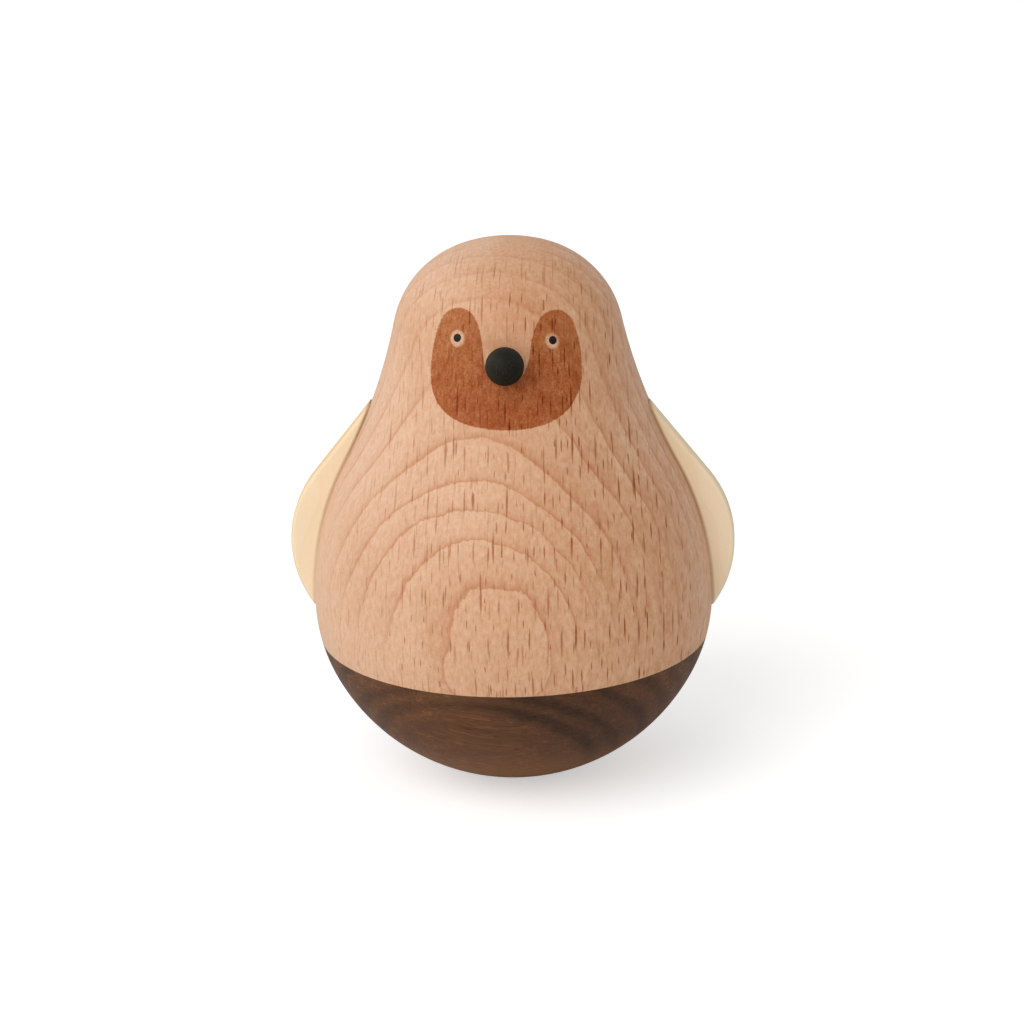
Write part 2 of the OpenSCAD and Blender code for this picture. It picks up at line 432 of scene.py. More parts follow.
# Growth rings of the beech: a solid pattern in the block that the body is turned from, with the rings
# facing the front. A pair such as crown is a ramp, and rows such as strength are for partSum.
rings = dict(
    # the pith stands behind the right shoulder and leans; its place is given at this height
    pithHeight=40.0,
    pithX=24.97,
    pithLeanX=-0.202,
    pithY=114.98,
    pithLeanY=0.033,
    # the rings dip towards the pith at this place on the belly
    dip=3.28,
    dipX=-11.9,
    dipZ=27.7,
    dipWide=13.6,
    dipTall=17.2,
    # the edge of a ring sways, and is toothed, more so higher up
    sway=0.6,
    swayPitch=0.16,
    teeth=((0.1, None, None), (0.2, None, (30, 42))),
    teethPitch=(1.6, 1.6, 0.6),
    # outer edges of the rings seen on the front, as distances from the pith
    frontEdges=(123.88, 127.51, 131.07, 134.49, 137.93, 140.29, 141.86, 143.37, 144.76, 146.6),
    hiddenCount=12,
    hiddenWide=3.6,
    strength=(
        (1.0, None, None),
        (0.3, None, (40, 35)),  # lower belly
        (-0.6, None, (35, 25)),  # foot of the belly
        (-0.5, (7, 13), (44, 36)),  # low on the right
        (-0.5, (-8, -14), (41, 33)),  # low on the left
        (-0.3, None, (56, 66)),  # head
    ),
    patchPitch=0.13,
    sides=((-31, -21), (32, 26)),
    crown=(82.3, 81.3),
    back=(2, 22),
    backWeaker=0.5,
    # dark late wood across a ring: a rise, then a late rise and the outer line with their powers
    rise=0.3,
    lateRise=0.15,
    latePower=6,
    linePower=16,
    rises=((1.0, None, None), (-0.2, (-4, -16), None), (0.8, (3, 12), (42, 48))),
    line=((1.1, None, None), (0.6, (-4, -16), None)),
    # softness of the outer edge, as a share of the ring
    soft=((0.03, None, None), (0.05, (8, 26), None), (0.06, None, (56, 66))),
    brow=dict(dark=0.3, across=((-6, 1), (10, 4)), up=((64, 69), (80, 75))),
)


# Distance from the pith, and how dark the late wood is there
def growthRings(finish, look):
    x, y, z = finish.axes
    lift = z - look["pithHeight"]
    fromPithX = x - look["pithX"] - lift * look["pithLeanX"]
    fromPithY = y - look["pithY"] - lift * look["pithLeanY"]
    dip = hill((x - look["dipX"]) / look["dipWide"], (z - look["dipZ"]) / look["dipTall"]) * look["dip"]
    radial = (fromPithX * fromPithX + fromPithY * fromPithY).math("SQRT") - dip
    sway = finish.waver(look["swayPitch"]) * look["sway"]
    teeth = finish.streaks(look["teethPitch"]) * partSum(x, z, look["teeth"])
    ring = radial + sway + teeth

    # how many rings lie inside this point, then how far across its own ring it is
    inner = look["frontEdges"][0] - look["hiddenWide"] * np.arange(look["hiddenCount"], 0, -1)
    edges = [*inner.tolist(), *look["frontEdges"]]
    count = sum(ring.ramp(low, high) for low, high in zip(edges, edges[1:]))
    across = count.math("FRACT")

    # they are patchy, and fade out on the flanks, on the crown and towards the back
    fade = within(x, look["sides"]) * z.eased(*look["crown"])
    fade = fade * (1 - look["backWeaker"] * y.eased(*look["back"]))
    patchy = 1 + finish.waver(look["patchPitch"])
    strength = partSum(x, z, look["strength"]) * fade * patchy

    rise = look["rise"] * across + look["lateRise"] * across ** look["latePower"]
    line = partSum(x, z, look["line"]) * across ** look["linePower"]
    dark = rise * partSum(x, z, look["rises"]) + line
    edge = ((1 - across) / partSum(abs(x), z, look["soft"])).ramp(0, 1)
    brow = within(x, look["brow"]["across"]) * within(z, look["brow"]["up"]) * look["brow"]["dark"]
    late = (dark * strength * edge + brow).ramp(0, 1)
    return radial, late


# Rays of the beech. Each kind has its cell round the pith, up the grain and out from the pith, the least
# and the added half height and half width of a fleck, and a shift that keeps the kinds apart.
rays = dict(
    pithX=1.5,
    long=dict(cell=(2.0, 6.5, 30.0), tall=(1.6, 1.5), wide=(0.13, 0.14), shift=0),
    short=dict(cell=(1.4, 3.4, 30.0), tall=(0.6, 1.0), wide=(0.11, 0.12), shift=25),
    fine=dict(cell=(0.6, 1.8, 12.0), tall=(0.35, 0.55), wide=(0.05, 0.07), shift=50),
    loose=0.75,  # how far the flecks stray from an even lattice
    softEdge=0.8,
    wavers=((0.12, 0.3), (0.8, 0.08)),  # pitch and reach of their bends
    # plainer towards the right, and on the head only from this much further right
    plainer=(-27, -1),
    headShift=6,
    head=(56, 64),
    coarseStrength=dict(plain=0.27, plainer=0.58, right=0.18),
    fineStrength=dict(plain=0.35, plainer=0.5),
    right=(5, 18),
    # fewer on the crown, and fainter where a flank lies along them
    crown=(82.3, 79.0),
    alongFlank=(0.8, 0.96),
    flankFainter=0.85,
    # how deep they colour the wood, and how that changes in the stain
    coarseStained=0.45,
    fineDepth=0.3,
    fineStained=-0.15,
)


# One kind of ray: in each cell of a loose lattice a spindle, 1 - (up / tall)^2 - |across| / wide
def rayFlecks(finish, around, up, inward, kind):
    cell, tall, wide = kind["cell"], kind["tall"], kind["wide"]
    spot = finish.vector(around / cell[0], up / cell[1], (inward + kind["shift"]) / cell[2])
    inputs = {"Vector": spot, "Scale": 1, "Randomness": rays["loose"]}
    cells = finish.add("ShaderNodeTexVoronoi", inputs=inputs).socket.node
    middle = Value(finish, cells.outputs["Position"])
    chance = Value(finish, cells.outputs["Color"])
    offAround, offUp, _ = finish.split(finish.shifted(spot, middle))
    long, strong, _ = finish.split(chance)
    rise = offUp * cell[1] / (tall[0] + tall[1] * long)
    width = abs(offAround * cell[0]) / (wide[0] + wide[1] * long)
    return (1 - rise * rise - width).eased(0, rays["softEdge"]) * strong


# Coarse and fine rays, which run out from the pith, and where they are plainer
def beechRays(finish, around, radial, facing, look):
    x, _, z = finish.axes
    bent = around + sum(finish.waver(pitch, detail=1) * reach for pitch, reach in look["wavers"])
    long = rayFlecks(finish, bent, z, radial, look["long"])
    short = rayFlecks(finish, bent, z, radial, look["short"])
    fine = rayFlecks(finish, bent, z, radial, look["fine"])
    plainer = (x - look["headShift"] * z.eased(*look["head"])).eased(*look["plainer"])
    shown = z.eased(*look["crown"]) * (1 - look["flankFainter"] * abs(facing).eased(*look["alongFlank"]))
    strength = weighed(look["coarseStrength"], plainer=plainer, right=x.eased(*look["right"]))
    coarse = long.math("MAXIMUM", short) * strength * shown
    fine = fine * weighed(look["fineStrength"], plainer=plainer) * shown
    return coarse, fine, plainer


# Painted shade: a dark line where a wing enters, raised on the right, away from the light; on the body it
# fades with the distance from the wing's face
creaseShade = dict(
    plateHalf=1.5,
    fadesOver=0.9,
    aside=(13, 16),
    span=((25.6, 27.5), (58.4, 56.5)),
    full=1.6,  # strength that takes the whole tint
    right=(-5, 5),
    body=dict(raised=0.2, parts=((0.45, None, None), (0.2, None, (33, 45)), (0.4, (5, -5), (46, 55)))),
    wing=dict(raised=0.38, parts=((0.36, None, None), (0.19, None, (33, 45)), (0.3, (5, -5), (46, 55)))),
)


def creaseShadeStrength(x, z, look):
    return partSum(x, z, look["parts"]) * (1 + look["raised"] * x.eased(*creaseShade["right"]))


def creaseShadeOnBody(finish, look):
    x, y, z = finish.axes
    line = ((look["plateHalf"] - abs(y)) / look["fadesOver"]).math("EXPONENT")
    line = line * abs(x).eased(*look["aside"]) * within(z, look["span"])
    return (line * creaseShadeStrength(x, z, look["body"])).ramp(0, look["full"])


# Stain of the face patch, a tint of the wood under it, and the wood left bare round the eyes
stain = dict(
    thickTint=paint(183, 119, 79),
    thinTint=paint(206, 164, 125),
    bare=paint(222, 178, 146),
    bareCover=0.82,
    bareSpeckle=1.5,
    edge=(0.09, -0.09),
    ragged=0.2,  # how far the speckle moves its edge
    # how thin it lies: rows for partSum, then weights of what makes it uneven
    thinParts=((0.34, None, None), (0.54, None, (62, 74)), (0.04, (2, -10), None), (0.18, (3, 9), None)),
    thinWeights=dict(soak=0.5, blot=2.4, comb=0.13, speckle=1.2),
    soak=dict(pitch=(0.35, 0.35, 0.9), detail=3),
    blot=dict(pitch=(1.1, 1.1, 0.7), detail=5, rough=0.8),
    combPitch=18.5,  # faint turning marks, radians per millimetre
    combRight=(4, 7),
    combUp=(64, 68),
    grainWeights=dict(speckle=0.4, mottle=0.75),
    grainShares=(0.4, 0.9, 1.8),
)


def stainTint(finish, speckle, mottle, look):
    x, _, z = finish.axes
    soak = finish.streaks(**look["soak"])
    blot = finish.streaks(**look["blot"])
    comb = (z * look["combPitch"]).math("SINE") * x.eased(*look["combRight"]) * z.eased(*look["combUp"])
    uneven = weighed(look["thinWeights"], soak=soak, blot=blot, comb=comb, speckle=speckle)
    thin = (partSum(x, z, look["thinParts"]) + uneven).ramp(0, 1)
    tint = finish.mix(thin, look["thickTint"], look["thinTint"])
    tone = weighed(look["grainWeights"], speckle=speckle, mottle=mottle)
    return finish.toned(tint, tone, look["grainShares"])


# Bare wood round the pupils: shift across and up, half width and half height, lean in degrees, where its
# edge starts to fade, and how much is stained on the upper side away from the nose
eyeRings = dict(
    left=dict(shift=(0.02, -0.07), half=(1.25, 1.35), lean=15.0, fade=0.72, worn=0.0),
    right=dict(shift=(-0.08, -0.06), half=(1.22, 1.3), lean=0.0, fade=0.65, worn=0.6),
    edge=1.08,  # where the fading ends, in half sizes
    wornOver=1.4,  # across and up together, where the wear is full
    deep=(3.3, 2.7),  # it ends this far off the face, in front and behind
)


# 1 inside a leaning oval on the face and 0 outside, soft at its edge
def bareRing(finish, side, eye):
    origin, axes = onFace(side * face["eyeOffset"], face["eyeHeight"])
    middle = origin + eye["shift"][0] * axes[0] + eye["shift"][1] * axes[1]
    cos, sin = heading(eye["lean"])
    leanSide = axes[0] * cos + axes[1] * sin
    leanUp = axes[1] * cos - axes[0] * sin
    off = finish.shifted(finish.spot, middle.tolist())

    def along(axis):
        inputs = {0: off, 1: axis.tolist()}
        return finish.add("ShaderNodeVectorMath", {"operation": "DOT_PRODUCT"}, inputs, "Value")

    acrossOval = along(leanSide / eye["half"][0])
    upOval = along(leanUp / eye["half"][1])
    reach = (acrossOval * acrossOval + upOval * upOval).math("SQRT")
    outward = along((axes[0] * side + axes[1]) / eyeRings["wornOver"]).ramp(0, 1)
    atFace = abs(along(axes[2])).eased(*eyeRings["deep"])
    return reach.eased(eyeRings["edge"], eye["fade"]) * (1 - outward * eye["worn"]) * atFace


# Grain of the beech: noise patterns with their pitches, and their weights
grain = dict(
    fibre=dict(pitch=(3.0, 0.5, 0.4), detail=3, rough=0.6),  # round the pith, up, and out from the pith
    speckle=dict(pitch=3.6, detail=1.5, rough=0.6),
    cloud=dict(pitch=0.055),
    mottle=dict(pitch=(1.7, 1.7, 0.9), rough=0.55),
    drift=dict(pitch=(0.8, 0.8, 0.4), rough=0.55),
    driftRight=(2, 14),
    weights=dict(speckle=0.28, fibre=0.26, cloud=0.12, mottle=0.4, rayMottle=0.2, drift=0.5),
    # broad soft shades: middle across and up, half width, half height, and how much paler
    shades=(
        (-12.8, 70.0, 3.5, 6.5, -0.14),  # left temple
        (3.0, 77.0, 3.0, 2.5, -0.1),  # brow
        (-4.5, 49.5, 7.0, 8.5, 0.14),  # top of the belly
        (18.6, 54.0, 3.0, 7.0, 0.14),  # right shoulder
        (15.5, 41.5, 5.0, 5.0, -0.1),  # right of the belly
        (-22.5, 37.0, 5.0, 9.0, -0.08),  # left flank
        (-10.0, 31.2, 2.0, 5.0, -0.09),  # beside the smallest ring
    ),
    shares=(0.5, 1.0, 1.5),  # in red, green and blue, so that darker wood is warmer
)


# Beech of the body
beech = dict(
    pale=paint(230, 188, 157),
    late=paint(209, 154, 120),
    # tints of what is under them: the warm front, left off the flanks as painted sheen, a ray, and the
    # painted shade line at a wing
    outsideSheenTint=paint(245, 234, 221),
    rayTint=paint(180, 122, 68),
    creaseShadeTint=paint(176, 146, 106),
    front=((-0.95, 0.05), (1.0, 0.8)),  # from left to right, by facing; the flanks, the lit left one most, are left paler as painted sheen
    relief=dict(fibre=0.5, speckle=0.4, coarse=-0.35, fine=-0.15, late=0.2),
    rough=dict(plain=0.56, speckle=0.16, coarse=0.12, late=-0.05),
    bump=(0.06, 0.35),
    gloss=0.12,
)


def makeBeech(look):
    finish = Finish("beechWithStainedFace")
    x, y, z = finish.place()
    radial, late = growthRings(finish, rings)
    around = (x - rays["pithX"]).math("ARCTAN2", rings["pithY"] - y) * rings["frontEdges"][-1]
    facing = x / ((x * x + y * y).math("SQRT") + 1)  # about the sine of the turn from the middle
    coarse, fine, plainer = beechRays(finish, around, radial, facing, rays)
    fibre = finish.streaks(**grain["fibre"], axes=(around, z, radial))
    speckle = finish.waver(**grain["speckle"])
    cloud = finish.waver(**grain["cloud"])
    mottle = finish.streaks(**grain["mottle"])
    drift = finish.streaks(**grain["drift"]) * x.eased(*grain["driftRight"])

    wood = finish.mix(late, look["pale"], look["late"])
    # painted sheen: the warm tint is left off the flanks, most of all the lit left one, so that they read
    # paler
    wood = finish.tinted(wood, look["outsideSheenTint"], within(facing, look["front"]))
    patterns = dict(speckle=speckle, fibre=fibre, cloud=cloud, mottle=mottle, drift=drift)
    tone = weighed(grain["weights"], rayMottle=mottle * plainer, **patterns)
    for midX, midZ, wide, tall, paler in grain["shades"]:
        tone = tone + hill((x - midX) / wide, (z - midZ) / tall) * paler
    wood = finish.toned(wood, tone, grain["shares"])

    stained = (finish.attribute("stainEdge") + speckle * stain["ragged"]).eased(*stain["edge"])
    coarseDepth = coarse * (1 + rays["coarseStained"] * stained)
    fineDepth = fine * (rays["fineDepth"] + rays["fineStained"] * stained)
    wood = finish.tinted(wood, look["rayTint"], (coarseDepth + fineDepth).ramp(0, 1))
    # painted shade: a dark line round the root of each wing
    wood = finish.tinted(wood, look["creaseShadeTint"], creaseShadeOnBody(finish, creaseShade))

    # the stain darkens the wood that is there, and the eye rings are left bare
    wood = finish.tinted(wood, stainTint(finish, speckle, mottle, stain), stained)
    cover = stain["bareCover"] + stain["bareSpeckle"] * speckle
    for side, eye in ((-1, eyeRings["left"]), (1, eyeRings["right"])):
        wood = finish.mix(bareRing(finish, side, eye) * cover, wood, stain["bare"])
    return finish.wood(wood, look, fibre=fibre, speckle=speckle, coarse=coarse, fine=fine, late=late)


# Body: dome, neck and belly in one turning, with the spigot that enters the base
def makeBody(size):
    seam, foot = size["seamHeight"], size["spigotFoot"]
    spigot, chamfer = size["spigotRadius"], size["spigotChamfer"]
    rim = float(radiusAt(seam))
    profile = joined(
        turnedOutline(bodyArcs, size["bodyStep"]),
        [[(rim + spigot) / 2, seam], [spigot, seam]],
        [[spigot, foot + chamfer], [spigot - chamfer, foot], [0, foot]],
    )
    body, points = turnedPiece("turnedBody", profile, size["bodyColumns"])
    giveAttribute(body, "stainEdge", stainEdge(points))
    return body


# Face patch: half of its outline, from the middle of the chin up round the lobe and down to the nose,
# (across, height) in millimetres on a plane square with the face
patch = dict(
    half=(
        (0, 59.4), (4.3, 59.7), (7.3, 60.5), (9.5, 62.0),
        (10.7, 64.2), (10.95, 66.6), (10.6, 70.2), (9.65, 73.5),
        (8.5, 75.0), (6.9, 75.6), (5.3, 75.2), (4.25, 73.9),
        (3.55, 71.5), (3.2, 68.8), (2.2, 66.8), (0, 66.1),
    ),
    middle=(0.1, 67.5),  # the tilt of the face is about this point
    chinTop=65.4,  # below this height the patch leans to the left
    chinLean=0.085,
    reach=(14, 12),  # beyond this, across and up from the middle, the wood is far from it
    far=5.0,
)


# Closed curve through points: each stretch is a cubic that at its ends runs along the line between the
# neighbours of that end
def closedCurve(points, steps=12):
    t = np.linspace(0, 1, steps, endpoint=False)[None, :, None]
    before, start, end, after = (np.roll(points, k, axis=0)[:, None, :] for k in (1, 0, -1, -2))
    square = 2 * before - 5 * start + 4 * end - after
    cubic = 3 * (start - end) + after - before
    return (start + 0.5 * t * (end - before + t * (square + t * cubic))).reshape(-1, 2)


# Distance of each point from a closed loop, negative inside it
def edgeDistance(points, loop):
    start, end = loop[None], np.roll(loop, -1, axis=0)[None]
    along = end - start
    reach = points[:, None] - start
    share = np.clip((reach * along).sum(-1) / (along * along).sum(-1), 0, 1)
    nearest = np.linalg.norm(reach - share[..., None] * along, axis=-1).min(axis=1)
    crosses = (start[..., 1] > points[:, None, 1]) != (end[..., 1] > points[:, None, 1])
    rise = np.where(along[..., 1] == 0, 1, along[..., 1])
    left = points[:, None, 0] < start[..., 0] + along[..., 0] * reach[..., 1] / rise
    return np.where((crosses & left).sum(axis=1) % 2 == 1, -nearest, nearest)


# Millimetres from the edge of the stain, negative where the wood is stained
def stainEdge(points):
    cos, sin = heading(face["tilt"])
    half = np.array(patch["half"])
    mirrored = half[-2:0:-1] * [-1, 1]
    middle = np.array(patch["middle"])
    loop = closedCurve(np.concatenate([half, mirrored])) - [0, middle[1]]
    loop = loop @ np.array([[cos, -sin], [sin, cos]]) + middle
    loop[:, 0] -= patch["chinLean"] * np.maximum(patch["chinTop"] - loop[:, 1], 0)
    flat = np.stack([points[:, :2] @ heading(face["turn"]), points[:, 2]], axis=1)
    across, up = np.abs(flat - [0, middle[1]]).T
    near = (points[:, 1] < 0) & (across < patch["reach"][0]) & (up < patch["reach"][1])
    edge = np.full(len(points), patch["far"])
    edge[near] = edgeDistance(flat[near], loop)
    return edge


dress(makeBody(turned), makeBeech(beech), "body")


# Walnut: flat growth layers that dip to the back right, with the grain lying across
walnut = dict(
    mid=paint(106, 69, 43),
    dark=paint(46, 31, 24),
    light=paint(150, 102, 63),
    layerX=0.176,  # layer = z + layerX x + layerY y
    layerY=0.781,
    sway=dict(pitch=(0.07, 0.16, 0.16), detail=3),
    swayReach=2.6,
    # dark bands: layer, half width and strength
    bands=(
        (-15.0, 0.9, 0.6), (-10.4, 0.9, 0.5), (-5.98, 0.7, 0.35), (-3.2, 0.75, 0.8),
        (-0.5, 0.8, 0.75), (4.2, 0.9, 0.7), (8.6, 1.2, 0.8), (12.4, 1.0, 0.5),
        (17.5, 1.4, 0.9), (22.0, 1.0, 0.6), (27.2, 1.3, 0.8), (32.0, 1.1, 0.6),
    ),
    bandEdge=(1.6, 0.2),  # where a band starts and where it is full, in half widths
    bandBroken=dict(plain=0.3, noise=1.2),
    brokenPitch=0.09,
    # patterns along the grain, through the layers and aside
    streak=dict(pitch=(0.1, 1.5, 1.1), detail=4, rough=0.62),
    fibre=dict(pitch=(0.4, 4.5, 3.5), detail=3, rough=0.6),
    pore=dict(pitch=(0.45, 5.0, 4.4), detail=1),
    poreFrom=(0.12, 0.22),
    poreDark=0.6,
    # dark heart between these layers, weaker at the far right
    heartLayers=((-6.5, -2.8), (10, 3)),
    heartLeft=(-12, 4),
    heartRight=(12, 24),
    heartWeaker=0.35,
    cornerAside=(15, 25),  # the upper corners are darker
    cornerUp=(12, 17),
    darkness=dict(plain=-0.05, bands=0.5, heart=0.52, corner=0.25, streak=0.9, fibre=0.75),
    darkFull=1.1,
    lightness=dict(streak=-1.8, fibre=-1.6, bands=-0.5, heart=-0.3),
    lightFull=0.9,
    foot=(12, 2),  # painted light: paler towards the foot, as from light bounced up off the floor
    footBounceLight=0.85,
    relief=dict(fibre=0.6, pore=-0.7),
    rough=dict(plain=0.5, fibre=0.25, pore=0.15),
    bump=(0.05, 0.35),
    gloss=0.15,
)


def makeWalnut(look):
    finish = Finish("oiledWalnut")
    x, y, z = finish.place()
    sway = finish.streaks(**look["sway"]) * look["swayReach"]
    layer = z + x * look["layerX"] + y * look["layerY"] + sway
    layered = (x, layer, y - z * look["layerY"])
    streak = finish.streaks(**look["streak"], axes=layered)
    fibre = finish.streaks(**look["fibre"], axes=layered)
    pore = finish.streaks(**look["pore"], axes=layered).eased(*look["poreFrom"])
    start, full = look["bandEdge"]
    bands = 0
    for mid, half, strength in look["bands"]:
        bands = bands + abs(layer - mid).eased(half * start, half * full) * strength
    bands = bands * weighed(look["bandBroken"], noise=finish.noise(finish.spot, look["brokenPitch"]))
    heart = within(layer, look["heartLayers"]) * x.eased(*look["heartLeft"])
    heart = heart * (1 - look["heartWeaker"] * x.eased(*look["heartRight"]))
    corner = abs(x).eased(*look["cornerAside"]) * z.eased(*look["cornerUp"])
    patterns = dict(bands=bands, heart=heart, corner=corner, streak=streak, fibre=fibre)
    dark = weighed(look["darkness"], **patterns).ramp(0, look["darkFull"])
    light = weighed(look["lightness"], **patterns).ramp(0, look["lightFull"])
    wood = finish.mix(dark, look["mid"], look["dark"])
    wood = finish.mix(light, wood, look["light"])
    wood = finish.mix(pore * look["poreDark"], wood, look["dark"])
    # painted light from the floor: the wood is paler near the foot
    wood = finish.mix(z.eased(*look["foot"]) * look["footBounceLight"], wood, look["light"])
    return finish.wood(wood, look, fibre=fibre, pore=pore)


# Base: the rocking bowl, hollowed for the spigot, the weight and its screw
def makeBase(size):
    socket, floor = size["socketRadius"], size["socketFloor"]
    pocket, pilot = size["pocketRadius"], size["pilotRadius"]
    profile = joined(
        [[0, 0], [size["restWide"] / 4, 0]],
        turnedOutline(baseArcs, size["baseStep"])[::-1],
        [[socket, size["seamHeight"]], [socket, floor], [pocket, floor]],
        [[pocket, size["pocketFloor"]], [pilot, size["pocketFloor"]]],
        [[pilot, size["pilotTaper"]], [0, size["pilotTip"]]],
    )
    return turnedPiece("rockingBase", profile[::-1], size["baseColumns"])[0]


dress(makeBase(turned), makeWalnut(walnut), "base")


# Wings: flat plates on the middle plane, let into the sides of the body
wing = dict(
    thick=3.0,
    reach=3.4,
    roundRadius=17.2,
    roundHeight=36.0,
    tipHeight=57.8,
    tipProud=0.2,
    footHeight=26.0,
    edgeRadius=0.6,
    tongue=5.0,
    # mesh: step along the outline, rows on a face and round the edge, scale of the last row on the face
    step=0.25,
    faceRows=14,
    edgeRows=5,
    lastRow=0.985,
    smoothAngle=50,
)


# Outline of the right wing in X and Z: straight edge from the tip, rounding to the foot, then the tongue
def wingOutline(size):
    mid = np.array([turned["bellyWide"] / 2 + size["reach"] - size["roundRadius"], size["roundHeight"]])
    tip = np.array([float(radiusAt(size["tipHeight"])) + size["tipProud"], size["tipHeight"]])
    drop = size["footHeight"] - mid[1]
    foot = np.array([mid[0] + math.sqrt(size["roundRadius"] ** 2 - drop ** 2), size["footHeight"]])
    leaving = angleOf(tip - mid) - math.degrees(math.acos(size["roundRadius"] / np.hypot(*(tip - mid))))
    rounding = arcPoints((mid, size["roundRadius"], leaving, angleOf(foot - mid)), size["step"])
    root = (foot - tip) / np.hypot(*(foot - tip))
    inward = np.array([root[1], -root[0]]) * size["tongue"]

    def straight(first, last):
        count = max(2, math.ceil(np.hypot(*(last - first)) / size["step"]))
        return first + (last - first) * np.linspace(0, 1, count, endpoint=False)[:, None]

    return np.concatenate([straight(tip, rounding[0]), rounding[:-1], straight(foot, foot + inward),
                           straight(foot + inward, tip + inward), straight(tip + inward, tip)])[::-1]


# A plate round its outline: rows go from the middle of one face out to the edge, round it and back
# to the middle of the other; a row is the outline drawn in by inset and shrunk by scale, at one depth
def platePoints(outline, size):
    half, edgeRadius, faceRows = size["thick"] / 2, size["edgeRadius"], size["faceRows"]
    before = outline - np.roll(outline, 1, axis=0)
    before /= np.linalg.norm(before, axis=1)[:, None]
    after = np.roll(before, -1, axis=0)
    bisector = np.stack([-(before + after)[:, 1], (before + after)[:, 0]], axis=1)
    inward = bisector / (1 + (before * after).sum(axis=1))[:, None]
    centre = outline.mean(axis=0)
    turn = np.radians(np.linspace(90, 0, size["edgeRows"]))
    scale = np.r_[np.linspace(0, 1, faceRows + 1)[1:-1], size["lastRow"], np.ones(size["edgeRows"])]
    inset = np.r_[np.full(faceRows, edgeRadius), edgeRadius * (1 - np.cos(turn))]
    depth = np.r_[np.full(faceRows, half), half - edgeRadius * (1 - np.sin(turn))]
    scale = np.r_[scale, scale[::-1]]
    inset = np.r_[inset, inset[::-1]]
    depth = np.r_[depth, -depth[::-1]]
    drawn = outline[None] + inset[:, None, None] * inward[None]
    flat = centre + (drawn - centre) * scale[:, None, None]
    grid = np.stack([flat[..., 0], np.broadcast_to(-depth[:, None], flat.shape[:2]), flat[..., 1]], axis=-1)
    ends = np.array([[centre[0], -half, centre[1]], [centre[0], half, centre[1]]])
    return np.concatenate([ends[:1], grid.reshape(-1, 3), ends[1:]]), ringFaces(len(scale), len(outline))


# Maple of the wings: upright growth rings that lean in towards the top
maple = dict(
    pale=paint(254, 236, 207),
    late=paint(248, 214, 162),
    creaseShade=paint(160, 112, 60),
    creaseShadeGap=(0.62, 0.1),  # painted shade along the line where it enters, by the distance from the body
    ringWide=4.2,
    ringLean=0.3,
    sway=5.0,
    swayPitch=0.09,
    # late wood across a ring, a rise and a line with their powers
    rise=0.35,
    risePower=2,
    line=0.4,
    linePower=9,
    fibre=dict(pitch=(4.0, 4.0, 0.35), detail=3, rough=0.6),
    speckle=dict(pitch=3.0, rough=0.6),
    cloud=dict(pitch=0.08),
    tone=dict(speckle=0.04, fibre=0.08, cloud=0.1),
    # share of late wood: more high up, and on the rim of the left wing, which is tinted as well: painted
    # shade that darkens the edge facing the light
    depth=dict(plain=0.22, late=0.25, upper=0.15, rim=0.5),
    upper=(36, 54),
    rim=(1.5, 1.1),
    leftWing=(5, -5),
    rimShadeTint=paint(248, 238, 236),
    relief=dict(fibre=0.6, speckle=0.3),
    rough=dict(plain=0.55, fibre=0.2, speckle=0.1),
    bump=(0.04, 0.3),
    gloss=0.3,
)


def makeMaple(look):
    finish = Finish("paleMaple")
    x, y, z = finish.place()
    outward = abs(x) + z * look["ringLean"]
    sway = finish.waver(look["swayPitch"]) * look["sway"]
    ring = ((outward + sway) / look["ringWide"]).math("FRACT")
    late = look["rise"] * ring ** look["risePower"] + look["line"] * ring ** look["linePower"]
    fibre = finish.streaks(**look["fibre"], axes=(outward, y, z))
    speckle = finish.waver(**look["speckle"])
    cloud = finish.waver(**look["cloud"])
    # painted shade: the rim of the left wing, which catches the light, is darkened
    rim = abs(y).eased(*look["rim"]) * x.eased(*look["leftWing"])
    depth = weighed(look["depth"], late=late, upper=z.eased(*look["upper"]), rim=rim)
    wood = finish.mix(depth, look["pale"], look["late"])
    wood = finish.tinted(wood, look["rimShadeTint"], rim)
    tone = weighed(look["tone"], speckle=speckle, fibre=fibre, cloud=cloud)
    wood = finish.toned(wood, tone)
    # painted shade: a dark line on the wing where it meets the body
    line = finish.attribute("bodyGap").eased(*look["creaseShadeGap"]) * creaseShadeStrength(x, z, creaseShade["wing"])
    wood = finish.mix(line, wood, look["creaseShade"])
    return finish.wood(wood, look, fibre=fibre, speckle=speckle)


def makeWing(name, side, material, node):
    points, faces = platePoints(wingOutline(wing), wing)
    if side < 0:
        points = points * [-1, 1, 1]
        faces = [f[::-1] for f in faces]
    piece = newPiece(name, points, faces, wing["smoothAngle"])
    gap = np.hypot(points[:, 0], points[:, 1]) - radiusAt(points[:, 2])
    giveAttribute(piece, "bodyGap", np.maximum(gap, 0))
    dress(piece, material, node)


mapleWood = makeMaple(maple)
makeWing("leftWing", -1, mapleWood, "left_wing")
makeWing("rightWing", 1, mapleWood, "right_wing")


# Nose and pupils: small turnings in black-stained wood
nose = dict(
    radius=2.8,
    lift=2.2,  # middle of the ball above the face
    holeRadius=1.05,
    holeDepth=3.0,
    step=0.12,
    columns=96,
)
pupil = dict(
    radius=0.6,
    proud=0.15,
    length=5.0,
    step=0.06,
    columns=48,
)
blackStain = dict(
    black=paint(19, 18, 12),
    worn=paint(56, 50, 37),
    fibre=dict(pitch=(5.0, 5.0, 1.1), detail=3, rough=0.6),
    speckle=dict(pitch=5.0, rough=0.6),
    thin=dict(fibre=1.8, speckle=1.2),
    thinFrom=(0.05, 0.75),
    left=(1.5, -1.5),  # painted light: a little paler on the left, the side the light comes from
    leftPaintedLight=0.3,
    relief=dict(fibre=0.7, speckle=0.4),
    rough=dict(plain=0.55, speckle=0.2),
    bump=(0.05, 0.4),
    gloss=0.12,
)


